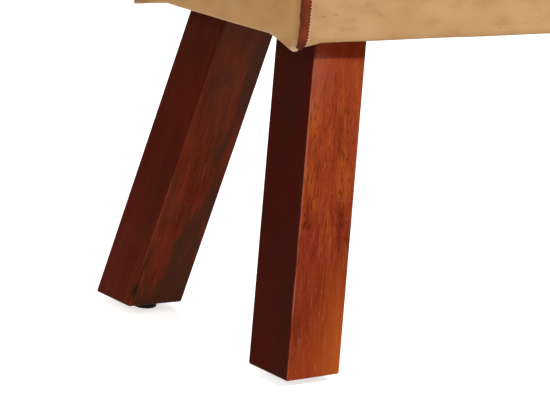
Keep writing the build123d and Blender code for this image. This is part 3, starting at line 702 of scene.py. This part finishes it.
def hemProfile(drop, depth):
    # the turned-under hem from its cut edge to the foot of the face: inward, and up from the rails
    roll, fold, step = leather["hemRoll"], leather["hemFold"], leather["hemStep"]
    points = [(step + (depth - step) * (1 - i / leather["flatSteps"]), 0) for i in range(leather["flatSteps"] + 1)]
    for i in range(1, leather["foldSteps"] + 1):
        share = i / leather["foldSteps"]
        points.append((step + share * (fold - step), -drop * smooth(share)))
    for i in range(leather["rollSteps"]):
        angle = i / leather["rollSteps"] * math.pi / 2
        points.append((roll - roll * math.sin(angle), roll - roll * math.cos(angle) - drop))
    return points


def pucker(along, distance, seamNumber, onCorner):
    # leather gathered where it is sewn: soft ridges that run out from the seam
    depth = seams["puckerDepth"] + seams["cornerPucker"] * onCorner
    ridge = noise.noise(Vector((along / seams["puckerPitch"] * 1.9, seamNumber * 5.3, wear["seed"])))
    return depth * ridge * math.exp(-max(0, distance - seams["puckerStart"]) / seams["puckerRun"])


def wave(x, y, z, fromSeam, fromHem):
    # slack in the hide, which fades out where it is sewn and folded
    size = wear["waveSize"]
    height = wear["waveHeight"] * noise.noise(Vector((x / size, y / size + 9, z / size + wear["seed"])))
    return height * smooth(fromSeam / wear["seamFade"]) * smooth(fromHem / wear["hemFade"])


def valley(distance):
    # the leather goes down to the seam beside the piping
    return seams["valleyDepth"] * math.exp(-max(0, distance - seams["valleyStart"]) / seams["valleyRun"])


# Meshes

def gridFaces(rows, columns, flip=False):
    faces = []
    for r in range(rows - 1):
        for c in range(columns - 1):
            a = r * columns + c
            face = (a, a + 1, a + columns + 1, a + columns)
            faces.append(face[::-1] if flip else face)
    return faces


def meshPiece(name, points, faces, finish, attributes=None):
    mesh = bpy.data.meshes.new(name)
    mesh.from_pydata([Vector(p) * mm for p in points], [], faces)
    for attributeName, values in (attributes or {}).items():
        mesh.attributes.new(attributeName, "FLOAT", "POINT").data.foreach_set("value", values)
    mesh.materials.append(finish)
    mesh.shade_smooth()
    return addObject(name, mesh)


def bake(piece):
    # the piece with its modifiers applied, as a plain mesh
    graph = bpy.context.evaluated_depsgraph_get()
    done = bpy.data.meshes.new_from_object(piece.evaluated_get(graph), depsgraph=graph)
    piece.modifiers.clear()
    old = piece.data
    piece.data = done
    done.name = piece.name
    bpy.data.meshes.remove(old)


def place(piece, slotName, *replaced):
    if replaced:
        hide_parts(*replaced)
    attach(piece, "root")


def makeSheet(nodeName, strips, finish, flip):
    # strips of (x, y, z, distance from the hem, distance from the seam) as leather of real thickness
    points = [point for strip in strips for point in strip]
    attributes = {"hemDistance": [p[3] for p in points], "seamDistance": [p[4] for p in points]}
    faces = gridFaces(len(strips), len(strips[0]), flip)
    name = "leather_" + nodeName.removeprefix("cover_")
    piece = meshPiece(name, [p[:3] for p in points], faces, finish, attributes)
    wall = piece.modifiers.new("wall", "SOLIDIFY")
    wall.thickness = leather["thickness"] * mm
    wall.offset = -1
    wall.use_quality_normals = True
    bake(piece)
    shell = bmesh.new()
    shell.from_mesh(piece.data)
    bmesh.ops.recalc_face_normals(shell, faces=shell.faces)
    shell.to_mesh(piece.data)
    shell.free()
    place(piece, "cover_leather", nodeName)


# Leather over the body

panels = {
    # from where to where each panel runs
    "cover_panel_left": (-body["halfLength"], -seams["cross"]),
    "cover_panel_middle": (-seams["cross"], seams["cross"]),
    "cover_panel_right": (seams["cross"], body["halfLength"]),
}
panelGrid = {"columns": 92, "straight": 0.28, "rows": {"side": 42, "shoulder": 24, "crown": 44}}
farOff = 1e6  # stands for a corner that a panel doesn't have


def panelDips(x, lowX, highX):
    # full in the middle of the panel, drawn in at both seams
    lowDips, highDips = (body["endDips" if abs(end) == body["halfLength"] else "seamDips"] for end in (lowX, highX))
    share = (x - lowX) / (highX - lowX)
    left, right = max(0, 1 - 2 * share) ** 2, max(0, 2 * share - 1) ** 2
    return tuple(left * a + right * b for a, b in zip(lowDips, highDips))


def makeCoverPanel(nodeName, lowX, highX):
    # one sheet from the staples under the front rail, over the top, to those under the back rail
    isLeft, isRight = lowX == -body["halfLength"], highX == body["halfLength"]
    lowSeam = -seams["pipingEnd"] if isLeft else lowX
    highSeam = seams["pipingEnd"] if isRight else highX
    edge, turnDepth = seams["edge"], body["turnDepth"] + body["hemDraw"]
    strips = []
    for share in eased(panelGrid["columns"], panelGrid["straight"]):
        x = lowSeam + edge + share * (highSeam - lowSeam - 2 * edge)
        shape = archShape(panelDips(x, lowX, highX))
        fromLow, fromHigh = x - lowSeam, highSeam - x
        distance = min(fromLow, fromHigh)
        seamNumber = round((lowSeam if fromLow < fromHigh else highSeam) / seams["cross"])
        corner = fromLow if isLeft else fromHigh if isRight else farOff
        drop = leather["hemSag"] + earDrop(corner, ears["frontWidth"], ears["frontDrop"])
        # the fold is closed up at a cross seam
        closing = (edge - seams["foldGap"]) * max(0, 1 - (distance - edge) / seams["foldRun"])
        halves = []
        for side in (-1, 1):
            face, under = [], []
            foot = body["hem"] - drop + leather["hemRoll"] + hemWave(x, side)
            for spot, outward, run in archHalf(shape, panelGrid["rows"], foot):
                reach = run / seams["cornerRun"]
                onCorner = smooth(reach - seams["cornerFrom"]) * smooth(seams["cornerTo"] - reach)
                push = pucker(run * side, distance, seamNumber, onCorner) - valley(distance)
                push += wave(x, spot.x * side, spot.y, distance, run)
                spot = spot + outward * push
                face.append((x, side * spot.x, spot.y, run + leather["hemRoll"], distance))
            for inward, up in hemProfile(drop, turnDepth):
                y = side * (side * face[0][1] - inward)
                z = body["hem"] + up + (hemWave(x, side) if inward < leather["hemStep"] else 0)
                closed = closing * smooth((inward - leather["hemFold"]) / seams["foldRise"])
                closed *= 0 if distance == corner else -1 if fromLow < fromHigh else 1
                under.append((x + closed, y, z, -inward, distance))
            halves.append(under + face)
        lean = -1 if isLeft else 1
        strips.append([(px + kickOut(y, z, corner) * lean, y, z, *distances)
                       for px, y, z, *distances in halves[0] + halves[1][::-1][1:]])
    makeSheet(nodeName, strips, tanSide, flip=True)


for nodeName, (lowX, highX) in panels.items():
    makeCoverPanel(nodeName, lowX, highX)
print("leather over the body is made")


# Legs

def makeLeg(corner):
    # the square post, its arrises eased by sanding and its foot a little more
    top, axes = legFrame(corner)
    half = legs["side"] / 2
    corners = []
    for z in (low("leg_" + corner).z, top.z):
        for signX, signY in ((-1, -1), (1, -1), (1, 1), (-1, 1)):
            spot = top + half * (signX * axes.col[0] + signY * axes.col[1])
            corners.append(spot - axes.col[2] * (spot.z - z) / axes.col[2].z)
    faces = [(0, 3, 2, 1), (4, 5, 6, 7), (0, 1, 5, 4), (1, 2, 6, 5), (2, 3, 7, 6), (3, 0, 4, 7)]
    piece = meshPiece("wood_leg_" + corner, corners, faces, legWoods[corner])
    post = bmesh.new()
    post.from_mesh(piece.data)
    soften = partial(bmesh.ops.bevel, post, profile=0.5, affect="EDGES")
    upright = [edge for edge in post.edges if abs(edge.verts[0].co.z - edge.verts[1].co.z) > half * mm]
    soften(geom=upright, offset=legs["arris"] * mm, segments=legs["arrisSteps"])
    floorward = min(vertex.co.z for vertex in post.verts) + 0.1 * mm
    ring = [edge for edge in post.edges if max(vertex.co.z for vertex in edge.verts) < floorward]
    soften(geom=ring, offset=legs["footEdge"] * mm, segments=legs["footSteps"])
    for face in post.faces:
        face.smooth = face.calc_area() < (half * mm) ** 2
    bmesh.ops.recalc_face_normals(post, faces=post.faces)
    post.to_mesh(piece.data)
    post.free()
    place(piece, "leg_wood", "leg_" + corner)


for corner in legNames:
    makeLeg(corner)
print("legs are made")


# Leather over the ends

endSheet = {
    "across": 128, "up": 84, "straight": 0.35,
    "pucker": 0.35, "puckerRadius": 130, "puckerShift": 9, "waveShift": 70,
    "turnPast": 6.5, "cornerTurn": 7.5, "cornerRun": 4,  # the turned-under strip is cut short at the corners
}


def sideY(shape, z):
    # how far from the middle the arch's side stands at this height
    below = (shape["shoulderZ"] - z) / shape["sideRadius"]
    return shape["half"] - shape["sideRadius"] * (1 - math.sqrt(1 - below ** 2))


def archInset(shape, y, z):
    # how far a point of the end lies inside the arch
    y = abs(y)
    if z <= shape["shoulderZ"]:
        return sideY(shape, z) - y
    fromShoulder = Vector((y - shape["reach"], z - shape["shoulderZ"]))
    if fromShoulder.x > 0 and math.atan2(fromShoulder.y, fromShoulder.x) < shape["turn"]:
        return shape["radius"] - fromShoulder.length
    return shape["crownRadius"] - Vector((y, z - shape["shoulderZ"] + shape["fall"])).length


def endFace(shape, y, z, sign):
    # how far the padded end stands out at this point
    e, run = endSheet, body["bulgeRun"]
    inset = archInset(shape, y, z)
    above = max(0, z - body["hem"])
    swell = body["endBulge"] * (1 - math.exp(-max(0, inset) / run)) * (1 - math.exp(-above / run))
    beside = inset - seams["pipingInset"]
    rounded = seams["endRound"] * math.exp(-max(0, beside - seams["endRoundStart"]) / seams["endRoundRun"])
    ridge = pucker(math.atan2(z - body["hem"], y) * e["puckerRadius"], beside, e["puckerShift"] * sign, e["pucker"])
    slack = wave(sign * e["waveShift"], y, z, inset, above)
    return body["halfLength"] + swell - (valley(beside) + rounded) + ridge + slack


def makeEndPanel(nodeName, sign):
    # a sheet spanned between the arch's two sides, its top and the hem
    shape = archShape(body["endDips"])
    inset = seams["pipingInset"] + seams["edge"]
    roll = leather["hemRoll"]
    shoulderRun = shape["radius"] * shape["turn"]
    crownRun = shape["crownRadius"] * (math.pi / 2 - shape["turn"])

    def fromCorner(y):
        return shape["half"] - body["hemDraw"] / 2 - inset - abs(y)

    def footZ(y):
        return body["hem"] - endEarDrop(y, max(0, fromCorner(y))) + hemWave(y, sign * 5)

    cornerZ = footZ(shape["half"]) + roll

    def edgePoint(part, share, side):
        spot, outward, run = archPoint(shape, part, share, cornerZ)
        spot = spot - outward * inset
        return Vector((side * spot.x, spot.y))

    def topPoint(share):
        # along the shoulders and the crown, from left to right
        along = (1 - abs(2 * share - 1)) * (shoulderRun + crownRun)
        side = -1 if share < 0.5 else 1
        if along < shoulderRun:
            return edgePoint("shoulder", along / shoulderRun, side)
        return edgePoint("crown", (along - shoulderRun) / crownRun, side)

    lowLeft, lowRight = edgePoint("side", 0, -1), edgePoint("side", 0, 1)
    highLeft, highRight = topPoint(0), topPoint(1)
    strips = []
    for u in eased(endSheet["across"], endSheet["straight"]):
        y = lowLeft.x + u * (lowRight.x - lowLeft.x)
        bottom, top = Vector((y, footZ(y) + roll)), topPoint(u)
        face = []
        for v in eased(endSheet["up"], endSheet["straight"]):
            left, right = edgePoint("side", v, -1), edgePoint("side", v, 1)
            spot = (1 - v) * bottom + v * top + (1 - u) * left + u * right
            spot -= (1 - u) * ((1 - v) * lowLeft + v * highLeft)
            spot -= u * ((1 - v) * lowRight + v * highRight)
            fromSeam = archInset(shape, spot.x, spot.y) - seams["pipingInset"]
            face.append((endFace(shape, spot.x, spot.y, sign), spot.x, spot.y, spot.y - footZ(spot.x), fromSeam))
        past = (high("side_rail_back").y - body["turnDepth"] - abs(y)) / endSheet["cornerRun"]
        longTurn, shortTurn = body["turnDepth"] + endSheet["turnPast"], endSheet["cornerTurn"]
        profile = hemProfile(body["hem"] - footZ(y), shortTurn + (longTurn - shortTurn) * smooth(past))
        under = [(face[0][0] - inward, y, body["hem"] + up, -inward, face[0][4]) for inward, up in profile]
        strips.append([(sign * (stand + kickOut(py, z, fromCorner(py))), py, z, *distances)
                       for stand, py, z, *distances in under + face])
    makeSheet(nodeName, strips, tanEnd, flip=sign > 0)


makeEndPanel("end_panel_left", -1)
makeEndPanel("end_panel_right", 1)
print("leather ends are made")


# Piping and its stitches, each along its seam's path

def newTree(name, inputs):
    # a geometry tree with named inputs, a node adder for it, and what the tree is given
    tree = bpy.data.node_groups.new(name, "GeometryNodeTree")
    for title, kind in {"Geometry": "Geometry", **inputs}.items():
        tree.interface.new_socket(title, in_out="INPUT", socket_type="NodeSocket" + kind)
    tree.interface.new_socket("Geometry", in_out="OUTPUT", socket_type="NodeSocketGeometry")
    return tree, partial(addNode, tree), addNode(tree, "NodeGroupInput")


def makePipingTree():
    # a closed tube of leather round the path, its girth a little uneven
    tree, add, given = newTree("pipingAlongSeam", {
        "Radius": "Float", "Sides": "Int", "Unevenness": "Float", "Lump Size": "Float", "Finish": "Material",
    })
    path = add("GeometryNodeMeshToCurve", [given["Geometry"]])[0]
    ring = add("GeometryNodeCurvePrimitiveCircle", {"Resolution": given["Sides"], "Radius": given["Radius"]})[0]
    frequency = add("Math", [1.0, given["Lump Size"]], "DIVIDE")[0]
    lumps = add("TexNoise", {"Scale": frequency, "Detail": 1})["Fac"]
    centred = add("Math", [lumps, 0.5], "SUBTRACT")[0]
    taper = add("GeometryNodeInputNamedAttribute", {"Name": "taper"}, data_type="FLOAT")["Attribute"]
    girth = add("Math", [centred, given["Unevenness"], taper], "MULTIPLY_ADD")[0]
    tube = add("GeometryNodeCurveToMesh", {"Curve": path, "Profile Curve": ring, "Scale": girth, "Fill Caps": True})
    soft = add("GeometryNodeSetShadeSmooth", [tube[0]])
    real = add("GeometryNodeRealizeInstances", [soft[0]])
    done = add("GeometryNodeSetMaterial", {0: real[0], "Material": given["Finish"]})
    add("NodeGroupOutput", [done[0]])
    return tree


def makeStitchTree():
    # one stitch after another along the path, no two quite alike
    tree, add, given = newTree("stitchesAlongSeam", {
        "Pitch": "Float", "Stitch Length": "Float", "Thread Width": "Float", "Seed": "Int", "Finish": "Material",
    })
    path = add("GeometryNodeMeshToCurve", [given["Geometry"]])[0]
    spaced = add("GeometryNodeResampleCurve", {"Curve": path, "Length": given["Pitch"]}, mode="LENGTH")[0]
    along = add("GeometryNodeInputTangent")[0]
    turned = add("FunctionNodeAlignRotationToVector", {"Vector": along}, axis="Z")[0]
    bead = add("GeometryNodeMeshUVSphere", {"Segments": 8, "Rings": 5, "Radius": 0.5})[0]
    width = given["Thread Width"]
    size = add("CombineXYZ", {"X": width, "Y": width, "Z": given["Stitch Length"]})[0]
    chance = add("FunctionNodeRandomValue", {"Seed": given["Seed"], 2: 0.88, 3: 1.08}, data_type="FLOAT")[1]
    sized = add("VectorMath", {0: size, "Scale": chance}, "SCALE")[0]
    beads = add("GeometryNodeInstanceOnPoints",
                {"Points": spaced, "Instance": bead, "Rotation": turned, "Scale": sized})[0]
    real = add("GeometryNodeRealizeInstances", [beads])
    done = add("GeometryNodeSetMaterial", {0: real[0], "Material": given["Finish"]})
    add("NodeGroupOutput", [done[0]])
    return tree


def seamPath(x, dips, drop, aside, inset, isEnd):
    # along a seam from the front hem to the back one, shifted aside and inset from the arch
    shape = archShape(dips)
    halves = []
    for side in (-1, 1):
        half = []
        for spot, outward, run in archHalf(shape, seams["pathRows"], body["hem"] - drop[side]):
            spot = spot - outward * inset
            lean = kickOut(side, spot.y, 0) if isEnd else 0
            half.append((x + aside + math.copysign(lean, x), side * spot.x, spot.y))
        halves.append(half)
    return halves[0] + halves[1][::-1][1:]


taper = {"height": 9.0, "footGirth": 0.65}


def runAlong(name, paths, tree, values, tapered=False):
    # paths drawn as edges, turned into the tree's mesh; a taper thins them towards their feet
    thin = taper["footGirth"] if tapered else 1.0
    points, edges, tapers = [], [], []
    for path in paths:
        edges += [(len(points) + i, len(points) + i + 1) for i in range(len(path) - 1)]
        points += path
        foot = path[0][2]
        tapers += [thin + (1 - thin) * smooth((p[2] - foot) / taper["height"]) for p in path]
    mesh = bpy.data.meshes.new(name)
    mesh.from_pydata([Vector(p) * mm for p in points], edges, [])
    mesh.attributes.new("taper", "FLOAT", "POINT").data.foreach_set("value", tapers)
    piece = addObject(name, mesh)
    maker = piece.modifiers.new("maker", "NODES")
    maker.node_group = tree
    identifiers = {item.name: item.identifier for item in tree.interface.items_tree if item.in_out == "INPUT"}
    for title, value in values.items():
        maker[identifiers[title]] = value
    bake(piece)
    piece.data.materials.clear()
    piece.data.materials.append(values["Finish"])
    return piece


pipingTree, stitchTree = makePipingTree(), makeStitchTree()
piping = {
    "Radius": seams["pipingRadius"] * mm, "Sides": 22, "Unevenness": 0.12, "Lump Size": 7 * mm, "Finish": brown,
}
cord = {"Radius": 2.6 * mm, "Sides": 10, "Unevenness": 0.0, "Lump Size": 7 * mm, "Finish": cotton}
cordStart = 8  # the cord stops this far above the piping's foot
stitch = {"Pitch": 3.0 * mm, "Stitch Length": 2.3 * mm, "Thread Width": 1.6 * mm, "Finish": thread}
stitchRow = {
    "aside": 5.35, "inset": 0.25, "seed": 4,
    "endDrops": {-1: ears["frontDrop"], 1: ears["frontDrop"]}, "crossDrops": {-1: 0.0, 1: 0.0},
}
seamList = [
    # node, where the seam is, how the body dips there, how far its feet hang below the hem, whether it is at an end
    ("cross_welt_left", -seams["cross"], body["seamDips"], {-1: 0.8, 1: 0.8}, False),
    ("cross_welt_right", seams["cross"], body["seamDips"], {-1: 0.8, 1: 0.8}, False),
    ("end_welt_left", -seams["pipingEnd"], body["endDips"], ears["pipingDrops"], True),
    ("end_welt_right", seams["pipingEnd"], body["endDips"], ears["pipingDrops"], True),
]
cordPaths = []
for number, (nodeName, x, dips, drops, isEnd) in enumerate(seamList):
    path = seamPath(x, dips, drops, 0, seams["pipingInset"], isEnd)
    cordPaths.append([spot for spot in path if spot[2] > path[0][2] + cordStart])
    place(runAlong("piping_" + nodeName, [path], pipingTree, piping, tapered=True), "welt_leather", nodeName)
    # a row on each side of a cross seam, but one at an end, through the side panel's edge
    inward = -math.copysign(stitchRow["aside"], x)
    feet = stitchRow["endDrops" if isEnd else "crossDrops"]
    rows = [seamPath(x, dips, feet, aside, stitchRow["inset"], isEnd)
            for aside in ([inward] if isEnd else [inward, -inward])]
    values = {**stitch, "Seed": stitchRow["seed"] + number}
    place(runAlong("stitches_" + nodeName, rows, stitchTree, values), "welt_leather")
place(runAlong("piping_cords", cordPaths, pipingTree, cord), "cotton_cord", "welt_cords")
print("piping and stitches are made")


# Foam and padding, cut to sit inside the leather

padding = {
    "gap": 0.4, "grooveDepth": 5.0, "grooveRun": 5.5, "columns": 120,
    "topRows": {"shoulder": 14, "crown": 16}, "endRows": {"side": 14, "shoulder": 14, "crown": 14},
    "sideWave": 0.6, "sideGroove": 0.55, "sideRows": 10,  # the sides are pressed in less than the top
    "endInset": 8.5, "endRings": (1.0, 0.93, 0.84, 0.7, 0.5, 0.25, 0.06), "endCentreLift": 20,
}


def groove(x):
    # the foam is pressed down under each cross seam
    return sum(padding["grooveDepth"] * math.exp(-((x - s) / padding["grooveRun"]) ** 2)
               for s in (-seams["cross"], seams["cross"]))


def padColumns():
    # where the outlines of a long pad stand, and the arch there
    frameEnd = high("seat_deck").x
    for i in range(padding["columns"] + 1):
        x = -frameEnd + 2 * frameEnd * i / padding["columns"]
        lowX, highX = next(ends for ends in panels.values() if ends[0] <= x <= ends[1])
        yield x, archShape(panelDips(x, lowX, highX))


def makePad(nodeName, outlines):
    # a solid of foam from outlines that follow one another, closed at both ends
    count, last = len(outlines[0]), len(outlines) - 1
    faces = []
    for r in range(last):
        for c in range(count):
            n = (c + 1) % count
            faces.append((r * count + c, r * count + n, (r + 1) * count + n, (r + 1) * count + c))
    faces.append(tuple(range(count))[::-1])
    faces.append(tuple(last * count + c for c in range(count)))
    piece = meshPiece("foam_" + nodeName, [p for outline in outlines for p in outline], faces, foam)
    solid = bmesh.new()
    solid.from_mesh(piece.data)
    bmesh.ops.triangulate(solid, faces=[f for f in solid.faces if len(f.verts) > 4])
    bmesh.ops.recalc_face_normals(solid, faces=solid.faces)
    solid.to_mesh(piece.data)
    solid.free()
    piece.data.shade_flat()
    place(piece, "foam", nodeName)


def makeSeatFoam():
    deckTop = high("seat_deck").z + padding["gap"]
    outlines = []
    for x, shape in padColumns():
        inset = leather["thickness"] + padding["gap"] + wear["waveHeight"] + groove(x)
        halves = []
        for side in (-1, 1):
            spots = [spot - outward * inset for spot, outward, run in archHalf(shape, padding["topRows"], deckTop)]
            half = [(x, side * spot.x, max(spot.y, deckTop + 1)) for spot in spots]
            halves.append([(x, half[0][1], deckTop)] + half)
        outlines.append(halves[0] + halves[1][::-1][1:])
    makePad("seat_foam", outlines)


def makeSidePadding(nodeName, side):
    inner = side * (high("side_rail_back").y + padding["gap"])
    bottom, top = low("side_rail_back").z + padding["gap"], high("seat_deck").z - padding["gap"]
    outlines = []
    for x, shape in padColumns():
        inset = leather["thickness"] + padding["gap"] + padding["sideWave"] * wear["waveHeight"]
        inset += padding["sideGroove"] * groove(x)
        outline = [(x, inner, bottom), (x, inner, top)]
        for j in range(padding["sideRows"] + 1):
            z = top + (bottom - top) * j / padding["sideRows"]
            outline.append((x, side * max(sideY(shape, z) - inset, abs(inner) + padding["gap"]), z))
        outlines.append(outline)
    makePad(nodeName, outlines)


def makeEndPadding(nodeName, sign):
    shape = archShape(body["endDips"])
    back = high("seat_deck").x + padding["gap"]
    bottom = low("side_rail_back").z + padding["gap"]
    halves = []
    for side in (-1, 1):
        spots = [spot - outward * padding["endInset"]
                 for spot, outward, run in archHalf(shape, padding["endRows"], bottom)]
        halves.append([(side * spot.x, max(spot.y, bottom)) for spot in spots])
    outline = halves[0] + halves[1][::-1][1:]
    centre = Vector((0, (bottom + shape["shoulderZ"]) / 2 + padding["endCentreLift"]))
    outlines = [[(sign * back, y, z) for y, z in outline]]
    for share in padding["endRings"]:
        ring = []
        for y, z in outline:
            spot = centre + share * (Vector((y, z)) - centre)
            stand = endFace(shape, spot.x, spot.y, sign) - leather["thickness"] - padding["gap"]
            ring.append((sign * max(stand, back + padding["gap"]), spot.x, spot.y))
        outlines.append(ring)
    makePad(nodeName, outlines)


makeSeatFoam()
makeSidePadding("side_padding_front", -1)
makeSidePadding("side_padding_back", 1)
makeEndPadding("end_padding_left", -1)
makeEndPadding("end_padding_right", 1)
print("foam and padding are made")
